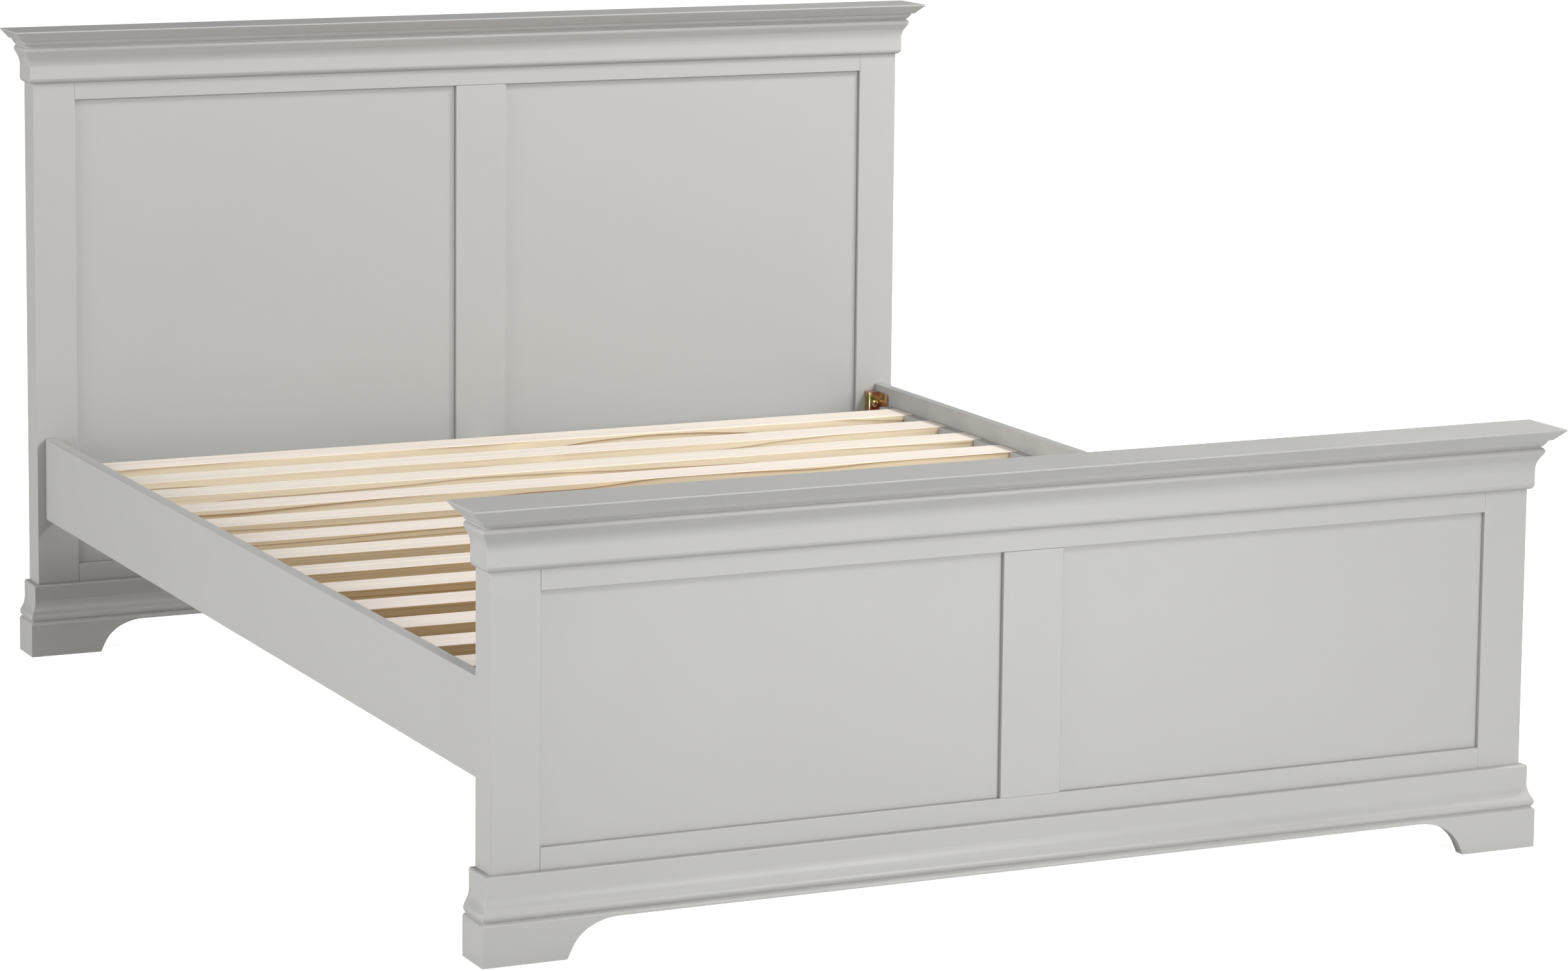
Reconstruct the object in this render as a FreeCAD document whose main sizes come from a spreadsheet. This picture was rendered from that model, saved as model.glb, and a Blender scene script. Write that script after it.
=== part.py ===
import FreeCAD, Part
import os
import Sketcher

# A painted wooden bed for a mattress 1500 wide and 2000 long: a tall headboard
# and a lower footboard in one frame-and-panel pattern, two side rails with
# ledgers, fourteen loose slats, and a centre rail on one leg.
# Lengths are in millimetres. X runs to the right seen from the foot, +Y runs
# from the foot to the head, +Z is up, and the floor is Z = 0.

doc = FreeCAD.newDocument("bed")
sheet = doc.addObject("Spreadsheet::Sheet", "sizes")

# Driving sizes
DRIVING = [
    ("width_over_posts", 1620),
    ("inside_length", 2010),
    ("headboard_height", 1070),
    ("footboard_height", 621),
    ("post_width", 72),
    ("post_depth", 54),
    ("arris", 1.2),
    ("groove_depth", 10),
    ("panel_recess", 6.5),
    ("panel_thickness", 12),
    ("panel_play", 0.3),
    ("top_rail_show", 30),
    ("bottom_rail_show", 31),
    ("bottom_rail_height", 98),
    ("mullion_width", 93.5),
    ("cap_thickness", 28),
    ("cap_overhang", 39.5),
    ("cap_back_overhang", 4),
    ("cap_lip", 2.1),
    ("cap_bevel_out", 25.3),
    ("cap_bevel_drop", 16.7),
    ("cap_bead_out", 20.4),
    ("cap_bead_drop", 17.6),
    ("cap_bead_radius", 20),
    ("moulding_seat", 12.9),
    ("cornice_height", 62.5),
    ("cornice_nose_out", 17.4),
    ("cornice_nose_drop", 5.9),
    ("cornice_nose_radius", 6),
    ("cornice_flank_out", 16.6),
    ("cornice_flank_drop", 8.9),
    ("cornice_cove_out", 11.8),
    ("cornice_cove_drop", 17.2),
    ("cornice_neck_out", 7.4),
    ("cornice_neck_drop", 34),
    ("cornice_frieze_out", 7.7),
    ("cornice_foot_run", 4.2),
    ("cornice_foot_rise", 8),
    ("base_height", 61.9),
    ("base_out", 8.8),
    ("base_round", 3),
    ("base_hollow_rise", 34.4),
    ("base_flank_out", 13.65),
    ("base_flank_rise", 16.3),
    ("base_nose_out", 15.75),
    ("base_nose_rise", 12.55),
    ("base_nose_radius", 9.5),
    ("plinth_height", 59.6),
    ("plinth_out", 18.1),
    ("foot_width", 122.5),
    ("arch_run", 75),
    ("arch_rise", 52.5),
    ("arch_heel_run", 10.2),
    ("arch_heel_rise", 20.8),
    ("arch_knee_run", 33.4),
    ("arch_knee_rise", 42.1),
    ("arch_heel_radius", 150),
    ("arch_knee_radius", 62),
    ("arch_crown_radius", 88),
    ("side_rail_set_in", 14.5),
    ("side_rail_thickness", 19),
    ("side_rail_height", 140),
    ("side_rail_top", 373),
    ("side_rail_round", 1.8),
    ("ledger_width", 20),
    ("ledger_height", 40),
    ("ledger_top", 340),
    ("ledger_end_gap", 60),
    ("slat_count", 14),
    ("slat_width", 70),
    ("slat_thickness", 20),
    ("slat_end_room", 89.25),
    ("slat_stand", 1),
    ("slat_tongue", 10),
    ("slat_round", 1.5),
    ("slat_shoulder_play", 0.5),
    ("slat_end_play", 2),
    ("slat_side_play", 0.3),
    ("bracket_sheet", 2.5),
    ("bracket_top", 361),
    ("bracket_height", 100),
    ("bracket_box_width", 20),
    ("bracket_box_depth", 19.5),
    ("bracket_leaf", 37),
    ("bracket_leaf_round", 6),
    ("bracket_bend", 3),
    ("bracket_flap_gap", 1.5),
    ("bracket_flap_hole", 1.6),
    ("bolt_radius", 3),
    ("bolt_hole_play", 0.4),
    ("bolt_from_rail", 9),
    ("bolt_from_edge", 21),
    ("bolt_length", 45),
    ("bolt_head_radius", 6.5),
    ("bolt_head_height", 3.6),
    ("bolt_head_rim", 1.4),
    ("bolt_cross_length", 6),
    ("bolt_cross_width", 1.2),
    ("bolt_cross_depth", 2),
    ("insert_radius", 5),
    ("insert_length", 15),
    ("fit_play", 0.1),
    ("screw_radius", 2),
    ("screw_head_radius", 4),
    ("screw_head_height", 2),
    ("screw_rim", 0.3),
    ("screw_length", 16),
    ("screw_slot_width", 1),
    ("screw_slot_length", 5),
    ("screw_slot_depth", 1),
    ("leaf_screw_reach", 17),
    ("leaf_screw_edge", 11),
    ("leaf_middle_reach", 27),
    ("hanger_width", 72),
    ("hanger_height", 62),
    ("hanger_pocket_length", 40),
    ("hanger_cheek_height", 50),
    ("hanger_play", 0.3),
    ("hanger_screw_across", 28),
    ("hanger_screw_edge", 14),
    ("centre_rail_width", 35),
    ("centre_rail_height", 70),
    ("centre_rail_round", 2),
    ("centre_rail_end_play", 1),
    ("leg_width", 45),
    ("leg_round", 3),
    ("leg_tenon", 20),
    ("leg_tenon_height", 30),
    ("glide_radius", 19),
    ("glide_height", 12),
    ("glide_round", 2),
    ("glide_stud_length", 40),
    ("glide_stud_gap", 12),
    ("overrun", 5),
]

# Sizes that follow from the driving ones
DERIVED = [
    ("half_posts", "width_over_posts / 2"),
    ("post_inner", "half_posts - post_width"),
    ("half_mullion", "mullion_width / 2"),
    ("groove_back", "panel_recess + panel_thickness"),
    ("base_top", "plinth_height + base_height"),
    ("bottom_rail_top", "base_top + bottom_rail_show"),
    ("bottom_rail_foot", "bottom_rail_top - bottom_rail_height"),
    ("cap_foot_drop", "cap_thickness + cornice_height"),
    ("top_rail_drop", "cap_foot_drop + top_rail_show"),
    ("cove_run", "cornice_cove_out - cornice_neck_out"),
    ("cove_fall", "cornice_neck_drop - cornice_cove_drop"),
    ("cove_radius", "(cove_run ^ 2 + cove_fall ^ 2) / (2 * cove_run)"),
    ("cornice_foot_radius",
     "(cornice_foot_run ^ 2 + cornice_foot_rise ^ 2) / (2 * cornice_foot_run)"),
    ("hollow_run", "base_flank_out - base_out"),
    ("hollow_fall", "base_hollow_rise - base_flank_rise"),
    ("hollow_radius", "(hollow_run ^ 2 + hollow_fall ^ 2) / (2 * hollow_run)"),
    ("plinth_round", "plinth_out - moulding_seat"),
    ("overall_length", "cap_overhang + inside_length + 2 * post_depth + cap_back_overhang"),
    ("footboard_front", "cap_overhang - overall_length / 2"),
    ("foot_inside", "footboard_front + post_depth"),
    ("head_inside", "foot_inside + inside_length"),
    ("middle", "(foot_inside + head_inside) / 2"),
    ("side_rail_outer", "half_posts - side_rail_set_in"),
    ("side_rail_inner", "side_rail_outer - side_rail_thickness"),
    ("side_rail_foot", "side_rail_top - side_rail_height"),
    ("ledger_inner", "side_rail_inner - ledger_width"),
    ("ledger_foot", "ledger_top - ledger_height"),
    ("slat_top", "ledger_top + slat_stand"),
    ("slat_foot", "slat_top - slat_thickness"),
    ("slat_seat", "slat_top - slat_tongue"),
    ("slat_shoulder", "ledger_inner - slat_shoulder_play"),
    ("slat_end", "side_rail_inner - slat_end_play"),
    ("slat_pitch", "(inside_length - 2 * slat_end_room - slat_width) / (slat_count - 1)"),
    ("first_slat", "foot_inside + slat_end_room"),
    ("bolt_across", "side_rail_inner - bolt_from_rail"),
    ("bolt_upper", "bracket_top - bolt_from_edge"),
    ("bolt_lower", "bracket_top - bracket_height + bolt_from_edge"),
    ("bracket_foot", "bracket_top - bracket_height"),
    ("bracket_middle", "bracket_top - bracket_height / 2"),
    ("leaf_screw_upper", "bracket_top - leaf_screw_edge"),
    ("leaf_screw_lower", "bracket_foot + leaf_screw_edge"),
    ("half_centre_rail", "centre_rail_width / 2"),
    ("centre_rail_foot", "slat_foot - centre_rail_height"),
    ("half_hanger", "hanger_width / 2"),
    ("hanger_foot", "centre_rail_foot - bracket_sheet"),
    ("hanger_screw_lower", "hanger_foot + hanger_screw_edge"),
    ("hanger_screw_upper", "hanger_foot + hanger_height - hanger_screw_edge"),
    ("half_leg", "leg_width / 2"),
    ("half_tenon", "leg_tenon / 2"),
    ("half_bolt_cross", "bolt_cross_length / 2"),
    ("half_bolt_slot", "bolt_cross_width / 2"),
    ("half_screw_slot_length", "screw_slot_length / 2"),
    ("half_screw_slot", "screw_slot_width / 2"),
    ("screw_shank_start", "screw_head_height + screw_rim"),
    ("screw_hole_depth", "screw_length - bracket_sheet + fit_play"),
    ("bolt_hole_depth", "bolt_length - bracket_box_depth + fit_play"),
    ("bolt_dome_rise", "bolt_head_height - bolt_head_rim"),
    ("bolt_dome_radius", "(bolt_head_radius ^ 2 + bolt_dome_rise ^ 2) / (2 * bolt_dome_rise)"),
    ("hanger_inner", "half_centre_rail + hanger_play"),
    ("hanger_outer", "hanger_inner + bracket_sheet"),
    ("leg_foot", "glide_height + glide_stud_gap"),
    ("glide_stud_top", "glide_height + glide_stud_length"),
]

NAMES = []


def put_row(name, text):
    """Write one named size on the next row of the sheet."""
    NAMES.append(name)
    cell = "B" + str(len(NAMES))
    sheet.set("A" + str(len(NAMES)), name)
    sheet.set(cell, text)
    sheet.setAlias(cell, name)


for name, size in DRIVING:
    put_row(name, str(size))
for name, formula in DERIVED:
    put_row(name, "=" + formula)
doc.recompute()


def amount(names):
    """The present value of a sum of named sizes, such as 'a + b - c'."""
    total = 0
    sign = 1
    for word in names.split():
        if word == "+":
            sign = 1
        elif word == "-":
            sign = -1
        elif "*" in word:
            count, name = word.split("*")
            total = total + sign * int(count) * sheet.get(name)
        elif word != "0":
            total = total + sign * sheet.get(word)
    return total


def formula_of(names):
    """The same sum, written as an expression on the sheet."""
    words = []
    for word in names.split():
        if "*" in word:
            count, name = word.split("*")
            words.append(count + " * sizes." + name)
        elif word in ("+", "-", "0"):
            words.append(word)
        else:
            words.append("sizes." + word)
    if words[0] == "+":
        words = words[1:]
    return " ".join(words)


def other_way(names):
    """The same sum with its sign changed, for the piece on the other side."""
    if names == "0":
        return names
    words = names.split()
    if words[0] not in ("+", "-"):
        words = ["+"] + words
    swap = {"+": "-", "-": "+"}
    return " ".join(swap.get(word, word) for word in words)


def between(low, high):
    """The distance from one place to a higher one."""
    return high if low == "0" else high + " " + other_way(low)


def sided(names, side):
    """A distance across the bed on the right (1) or on the left (-1)."""
    return names if side > 0 else other_way(names)


def follow(thing, setting, names):
    """Bind one setting of an object to a sum of named sizes."""
    thing.setExpression(setting, formula_of(names))


# Sketches: every corner, radius and centre follows the sheet
def sketch_on(body, plane, at="0"):
    """An empty sketch on one of the body's planes, moved along its normal."""
    sketch = body.newObject("Sketcher::SketchObject", body.Name + "_sketch")
    base = [flat for flat in body.Origin.OriginFeatures if flat.Role == plane + "_Plane"]
    sketch.AttachmentSupport = [(base[0], "")]
    sketch.MapMode = "FlatFace"
    if at != "0":
        follow(sketch, "AttachmentOffset.Base.z", other_way(at) if plane == "XZ" else at)
    return sketch


def hold(sketch, wanted):
    """Add constraints together, then let the measured ones follow the sheet.
    Each is (constraint, names), with empty names for one without a size."""
    numbers = sketch.addConstraint([constraint for constraint, names in wanted])
    for number, (constraint, names) in zip(numbers, wanted):
        if names not in ("", "0"):
            follow(sketch, "Constraints[" + str(number) + "]", names)


def pinned(edge, end, across, up):
    """Constraints that hold one point of a sketch at two named distances."""
    return [(Sketcher.Constraint(kind, -1, 1, edge, end, amount(names)), names)
            for kind, names in (("DistanceX", across), ("DistanceY", up))]


def arc_centre(start, finish, radius, turn):
    """The centre of the shorter arc that turns left (1) or right (-1)."""
    chord = finish - start
    rise = (radius ** 2 - (chord.Length / 2) ** 2) ** 0.5
    return (start + finish) / 2 + FreeCAD.Vector(0, 0, 1).cross(chord).normalize() * rise * turn


def arc_between(start, finish, radius, turn):
    """The shorter arc from start to finish, turning left (1) or right (-1)."""
    first, last = (start, finish) if turn > 0 else (finish, start)
    centre = arc_centre(start, finish, radius, turn)
    circle = Part.Circle(centre, FreeCAD.Vector(0, 0, 1), radius)
    return Part.ArcOfCircle(circle, circle.parameter(first), circle.parameter(last))


def draw_outline(sketch, corners, side=1):
    """A closed outline. A corner is (across, up), or (across, up, radius,
    turn) where an arc leads from it to the next one."""
    offset = sketch.GeometryCount
    corners = [(sided(corner[0], side),) + tuple(corner[1:]) for corner in corners]
    spots = [FreeCAD.Vector(amount(corner[0]), amount(corner[1]), 0) for corner in corners]
    ends = []
    for index, corner in enumerate(corners):
        start = spots[index]
        finish = spots[(index + 1) % len(spots)]
        if len(corner) == 2:
            sketch.addGeometry(Part.LineSegment(start, finish), False)
            ends.append((1, 2))
        else:
            turn = corner[3] * side
            sketch.addGeometry(arc_between(start, finish, amount(corner[2]), turn), False)
            ends.append((1, 2) if turn > 0 else (2, 1))
    wanted = []
    for index, corner in enumerate(corners):
        edge = offset + index
        after = (index + 1) % len(corners)
        joined = Sketcher.Constraint(
            "Coincident", edge, ends[index][1], offset + after, ends[after][0])
        wanted.append((joined, ""))
        wanted.extend(pinned(edge, ends[index][0], corner[0], corner[1]))
        if len(corner) > 2:
            bend = Sketcher.Constraint("Radius", edge, amount(corner[2]))
            wanted.append((bend, corner[2]))
    hold(sketch, wanted)


def draw_circle(sketch, across, up, radius):
    """A circle about a named centre."""
    edge = sketch.GeometryCount
    centre = FreeCAD.Vector(amount(across), amount(up), 0)
    sketch.addGeometry(Part.Circle(centre, FreeCAD.Vector(0, 0, 1), amount(radius)), False)
    size = Sketcher.Constraint("Radius", edge, amount(radius))
    hold(sketch, pinned(edge, 3, across, up) + [(size, radius)])


def box_outline(left, right, low, high):
    """The four corners of a rectangle."""
    return [(left, low), (right, low), (right, high), (left, high)]


def eased_outline(left, right, low, high, ease):
    """A rectangle whose four corners are rounded by a small named radius."""
    return [
        (left + " + " + ease, low),
        (right + " - " + ease, low, ease, 1),
        (right, low + " + " + ease),
        (right, high + " - " + ease, ease, 1),
        (right + " - " + ease, high),
        (left + " + " + ease, high, ease, 1),
        (left, high + " - " + ease),
        (left, low + " + " + ease, ease, 1),
    ]


# Solid features
BODIES = {}


def new_body(label):
    """An empty body with the name of the piece."""
    body = doc.addObject("PartDesign::Body", label)
    body.Label = label
    BODIES[label] = body
    return body


def pad(body, plane, outlines, low, high, side=1):
    """Stand outlines up between two places along the plane's normal axis."""
    start = high if plane == "XZ" else low
    sketch = sketch_on(body, plane, start)
    for corners in outlines:
        draw_outline(sketch, corners, side)
    grown = body.newObject("PartDesign::Pad", body.Name + "_pad")
    grown.Profile = sketch
    follow(grown, "Length", between(low, high))
    body.Tip = grown
    return grown


def cut(body, plane, outlines, low, high, side=1, circles=()):
    """Take outlines or circles away between two places along the normal."""
    start = high if plane == "XZ" else low
    sketch = sketch_on(body, plane, start)
    for corners in outlines:
        draw_outline(sketch, corners, side)
    for across, up, radius in circles:
        draw_circle(sketch, sided(across, side), up, radius)
    taken = body.newObject("PartDesign::Pocket", body.Name + "_cut")
    taken.Profile = sketch
    taken.Reversed = True
    follow(taken, "Length", between(low, high))
    body.Tip = taken
    return taken


def turn_round(body, corners):
    """Turn a half outline in the XY plane about the body's Y axis."""
    sketch = sketch_on(body, "XY")
    draw_outline(sketch, corners)
    turned = body.newObject("PartDesign::Revolution", body.Name + "_turned")
    turned.Profile = sketch
    turned.ReferenceAxis = (sketch, ["V_Axis"])
    body.Tip = turned
    return turned


def ease_edges(body, radius, wanted):
    """Round the edges of the body that the test picks out."""
    doc.recompute()
    base = body.Tip
    picked = []
    for number, edge in enumerate(base.Shape.Edges):
        if wanted(edge):
            picked.append("Edge" + str(number + 1))
    eased = body.newObject("PartDesign::Fillet", body.Name + "_eased")
    eased.Base = (base, picked)
    follow(eased, "Radius", radius)
    body.Tip = eased
    return eased


def runs_along(edge, axis):
    """True for a straight edge along X (0), Y (1) or Z (2)."""
    if not isinstance(edge.Curve, Part.Line):
        return False
    return abs(abs(edge.Curve.Direction[axis]) - 1) < edge.Tolerance


# Moulding outlines: distance out from the post's face, height
def cap_outline(top):
    """The cap's edge: a lip, a bevel under it, a fillet and a bead."""
    foot = top + " - cap_thickness"
    return [
        ("cap_overhang", top),
        ("cap_overhang", top + " - cap_lip"),
        ("cap_bevel_out", top + " - cap_bevel_drop"),
        ("cap_bead_out", top + " - cap_bevel_drop"),
        ("cap_bead_out", top + " - cap_bead_drop", "cap_bead_radius", -1),
        ("moulding_seat", foot),
    ]


def cornice_outline(top):
    """The cornice: a nose, a sloping flank, a cove, a frieze and a round foot."""
    head = top + " - cap_thickness"
    return [
        ("0", head),
        ("moulding_seat", head, "cornice_nose_radius", -1),
        ("cornice_nose_out", head + " - cornice_nose_drop",
         "cornice_nose_radius", -1),
        ("cornice_flank_out", head + " - cornice_flank_drop"),
        ("cornice_cove_out", head + " - cornice_cove_drop", "cove_radius", 1),
        ("cornice_neck_out", head + " - cornice_neck_drop"),
        ("cornice_frieze_out", head + " - cornice_height + cornice_foot_rise",
         "cornice_foot_radius", -1),
        ("cornice_frieze_out - cornice_foot_run", head + " - cornice_height"),
        ("0", head + " - cornice_height"),
    ]


def base_outline(top):
    """The base moulding: a flat face that sweeps out over a flank to a nose."""
    return [
        ("0", "base_top"),
        ("base_out - base_round", "base_top", "base_round", -1),
        ("base_out", "base_top - base_round"),
        ("base_out", "plinth_height + base_hollow_rise", "hollow_radius", 1),
        ("base_flank_out", "plinth_height + base_flank_rise"),
        ("base_nose_out", "plinth_height + base_nose_rise", "base_nose_radius", -1),
        ("moulding_seat", "plinth_height"),
        ("0", "plinth_height"),
    ]


def plinth_outline(top):
    """The plinth: a flat board with a round top edge."""
    return [
        ("0", "plinth_height"),
        ("moulding_seat", "plinth_height", "plinth_round", -1),
        ("plinth_out", "plinth_height - plinth_round"),
        ("plinth_out", "0"),
        ("0", "0"),
    ]


MOULDINGS = [
    ("cornice", cornice_outline, "cornice_nose_out"),
    ("base_moulding", base_outline, "plinth_out"),
    ("plinth", plinth_outline, "plinth_out"),
]


def out_from_front(corners):
    """An outline turned to stand in front of the posts, facing -Y."""
    return [(other_way(corner[0]),) + tuple(corner[1:2]) + turned_arc(corner)
            for corner in corners]


def turned_arc(corner):
    """The arc part of a corner once its outline is turned to face -Y."""
    return (corner[2], -corner[3]) if len(corner) > 2 else ()


def out_from_side(corners):
    """An outline moved out to the post's outer face."""
    return [("half_posts + " + corner[0],) + tuple(corner[1:]) for corner in corners]


def inner_face(depth, behind):
    """The span of a hole in the face of an end board that looks at the bed."""
    return ("post_depth - " + depth, "post_depth") if behind else ("0", depth)


# One end board; the headboard and the footboard differ only in height and place
def make_frame(board, top, bolts_behind):
    """Two posts, two rails and a mullion round two panels."""
    cap_foot = top + " - cap_thickness"
    top_rail_foot = top + " - top_rail_drop"
    for side, word in ((-1, "left"), (1, "right")):
        post = new_body(board + "_" + word + "_post")
        pad(post, "XY", [[
            ("post_inner", "groove_back"),
            ("post_inner + groove_depth", "groove_back"),
            ("post_inner + groove_depth", "panel_recess"),
            ("post_inner", "panel_recess"),
            ("post_inner", "arris", "arris", 1),
            ("post_inner + arris", "0"),
            ("half_posts - arris", "0", "arris", 1),
            ("half_posts", "arris"),
            ("half_posts", "post_depth - arris", "arris", 1),
            ("half_posts - arris", "post_depth"),
            ("post_inner + arris", "post_depth", "arris", 1),
            ("post_inner", "post_depth - arris"),
        ]], "0", cap_foot, side)
        for depth, radius in (("insert_length", "insert_radius + fit_play"),
                              ("bolt_hole_depth", "bolt_radius + bolt_hole_play")):
            circles = [("bolt_across", up, radius) for up in ("bolt_upper", "bolt_lower")]
            low, high = inner_face(depth, bolts_behind)
            cut(post, "XZ", [], low, high, side, circles)

        panel = new_body(board + "_" + word + "_panel")
        pad(panel, "XZ", [box_outline(
            "half_mullion - groove_depth + panel_play",
            "post_inner + groove_depth - panel_play",
            "bottom_rail_top - groove_depth + panel_play",
            top_rail_foot + " + groove_depth - panel_play")],
            "panel_recess", "groove_back", side)

    rail = new_body(board + "_top_rail")
    pad(rail, "YZ", [[
        ("arris", top_rail_foot),
        ("panel_recess", top_rail_foot),
        ("panel_recess", top_rail_foot + " + groove_depth"),
        ("groove_back", top_rail_foot + " + groove_depth"),
        ("groove_back", top_rail_foot),
        ("post_depth - arris", top_rail_foot, "arris", 1),
        ("post_depth", top_rail_foot + " + arris"),
        ("post_depth", cap_foot),
        ("0", cap_foot),
        ("0", top_rail_foot + " + arris", "arris", 1),
    ]], "- post_inner", "post_inner")
    pad(rail, "YZ", [box_outline(
        "panel_recess", "groove_back", top_rail_foot + " + groove_depth", cap_foot)],
        "- post_inner - groove_depth", "post_inner + groove_depth")

    rail = new_body(board + "_bottom_rail")
    pad(rail, "YZ", [[
        ("0", "bottom_rail_foot"),
        ("post_depth", "bottom_rail_foot"),
        ("post_depth", "bottom_rail_top - arris", "arris", 1),
        ("post_depth - arris", "bottom_rail_top"),
        ("groove_back", "bottom_rail_top"),
        ("groove_back", "bottom_rail_top - groove_depth"),
        ("panel_recess", "bottom_rail_top - groove_depth"),
        ("panel_recess", "bottom_rail_top"),
        ("arris", "bottom_rail_top", "arris", 1),
        ("0", "bottom_rail_top - arris"),
    ]], "- post_inner", "post_inner")
    pad(rail, "YZ", [box_outline(
        "panel_recess", "groove_back", "bottom_rail_foot", "bottom_rail_top - groove_depth")],
        "- post_inner - groove_depth", "post_inner + groove_depth")

    mullion = new_body(board + "_mullion")
    right = [
        ("half_mullion - arris", "0", "arris", 1),
        ("half_mullion", "arris"),
        ("half_mullion", "panel_recess"),
        ("half_mullion - groove_depth", "panel_recess"),
        ("half_mullion - groove_depth", "groove_back"),
        ("half_mullion", "groove_back"),
        ("half_mullion", "post_depth - arris", "arris", 1),
        ("half_mullion - arris", "post_depth"),
    ]
    left = [
        ("- half_mullion + arris", "post_depth", "arris", 1),
        ("- half_mullion", "post_depth - arris"),
        ("- half_mullion", "groove_back"),
        ("- half_mullion + groove_depth", "groove_back"),
        ("- half_mullion + groove_depth", "panel_recess"),
        ("- half_mullion", "panel_recess"),
        ("- half_mullion", "arris", "arris", 1),
        ("- half_mullion + arris", "0"),
    ]
    pad(mullion, "XY", [right + left], "bottom_rail_top", top_rail_foot)
    pad(mullion, "XY", [box_outline(
        "- half_mullion + groove_depth", "half_mullion - groove_depth",
        "panel_recess", "groove_back")],
        "bottom_rail_top - groove_depth", top_rail_foot + " + groove_depth")
    spots = []
    for across in ("hanger_screw_across", "- hanger_screw_across"):
        for up in ("hanger_screw_lower", "hanger_screw_upper"):
            spots.append((across, up, "screw_radius + fit_play"))
    low, high = inner_face("screw_hole_depth", bolts_behind)
    cut(mullion, "XZ", [], low, high, 1, spots)


def make_cap(board, top):
    """The cap: one board, moulded on its front and both ends."""
    cap = new_body(board + "_cap")
    foot = top + " - cap_thickness"
    front = out_from_front(cap_outline(top))
    pad(cap, "YZ", [front + [
        ("post_depth + cap_back_overhang", foot),
        ("post_depth + cap_back_overhang", top),
    ]], "- half_posts - cap_overhang", "half_posts + cap_overhang")
    for side in (-1, 1):
        end = out_from_side(cap_outline(top))[1:]
        cut(cap, "XZ", [end + [
            ("half_posts + moulding_seat", foot + " - overrun"),
            ("half_posts + cap_overhang + overrun", foot + " - overrun"),
            ("half_posts + cap_overhang + overrun", top + " - cap_lip"),
        ]], "- cap_overhang - overrun", "post_depth + cap_back_overhang + overrun", side)


def make_moulding(board, name, outline, out, top):
    """One moulding as three lengths, mitred where they meet."""
    reach = out + " + overrun"
    corner = out + " + 2*overrun"
    front = new_body(board + "_" + name + "_front")
    pad(front, "YZ", [out_from_front(outline(top))],
        other_way("half_posts + " + reach), "half_posts + " + reach)
    for side in (-1, 1):
        cut(front, "XY", [[
            ("half_posts", "0"),
            ("half_posts + " + corner, other_way(corner)),
            ("half_posts + " + corner, "0"),
        ]], "- overrun", top + " + overrun", side)
    for side, word in ((-1, "left"), (1, "right")):
        back = new_body(board + "_" + name + "_" + word)
        pad(back, "XZ", [out_from_side(outline(top))], other_way(reach), "post_depth", side)
        cut(back, "XY", [[
            ("half_posts - overrun", other_way(corner)),
            ("half_posts + " + corner, other_way(corner)),
            ("half_posts", "0"),
            ("half_posts - overrun", "0"),
        ]], "- overrun", top + " + overrun", side)
    return front


def cut_arch(front):
    """The long arch under the plinth that leaves a bracket foot each side."""
    foot = "half_posts + plinth_out - foot_width"
    heel = foot + " - arch_heel_run"
    knee = foot + " - arch_knee_run"
    crown = foot + " - arch_run"
    cut(front, "XZ", [[
        (foot, "- overrun"),
        (foot, "0", "arch_heel_radius", 1),
        (heel, "arch_heel_rise", "arch_knee_radius", 1),
        (knee, "arch_knee_rise", "arch_crown_radius", 1),
        (crown, "arch_rise"),
        (other_way(crown), "arch_rise", "arch_crown_radius", 1),
        (other_way(knee), "arch_knee_rise", "arch_knee_radius", 1),
        (other_way(heel), "arch_heel_rise", "arch_heel_radius", 1),
        (other_way(foot), "0"),
        (other_way(foot), "- overrun"),
    ]], "- plinth_out - overrun", "overrun")


def make_board(board, top, place, bolts_behind):
    """A whole end board, moved to its end of the bed."""
    before = set(BODIES)
    make_frame(board, top, bolts_behind)
    make_cap(board, top)
    for name, outline, out in MOULDINGS:
        front = make_moulding(board, name, outline, out, top)
        if name == "plinth":
            cut_arch(front)
    for label in set(BODIES) - before:
        follow(BODIES[label], "Placement.Base.y", place)


make_board("headboard", "headboard_height", "head_inside", False)
make_board("footboard", "footboard_height", "footboard_front", True)


# Side rails and the notched ledgers fixed along their inner faces
def along_x(near, far, side):
    """The low and high ends of a span across the bed, on either side."""
    return (near, far) if side > 0 else (other_way(far), other_way(near))


SLATS = int(sheet.get("slat_count"))

# The screws of a bracket's leaf: how far from the box, and how high
LEAF_SCREWS = [
    ("leaf_screw_reach", "leaf_screw_upper"),
    ("leaf_middle_reach", "bracket_middle"),
    ("leaf_screw_reach", "leaf_screw_lower"),
]

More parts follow.
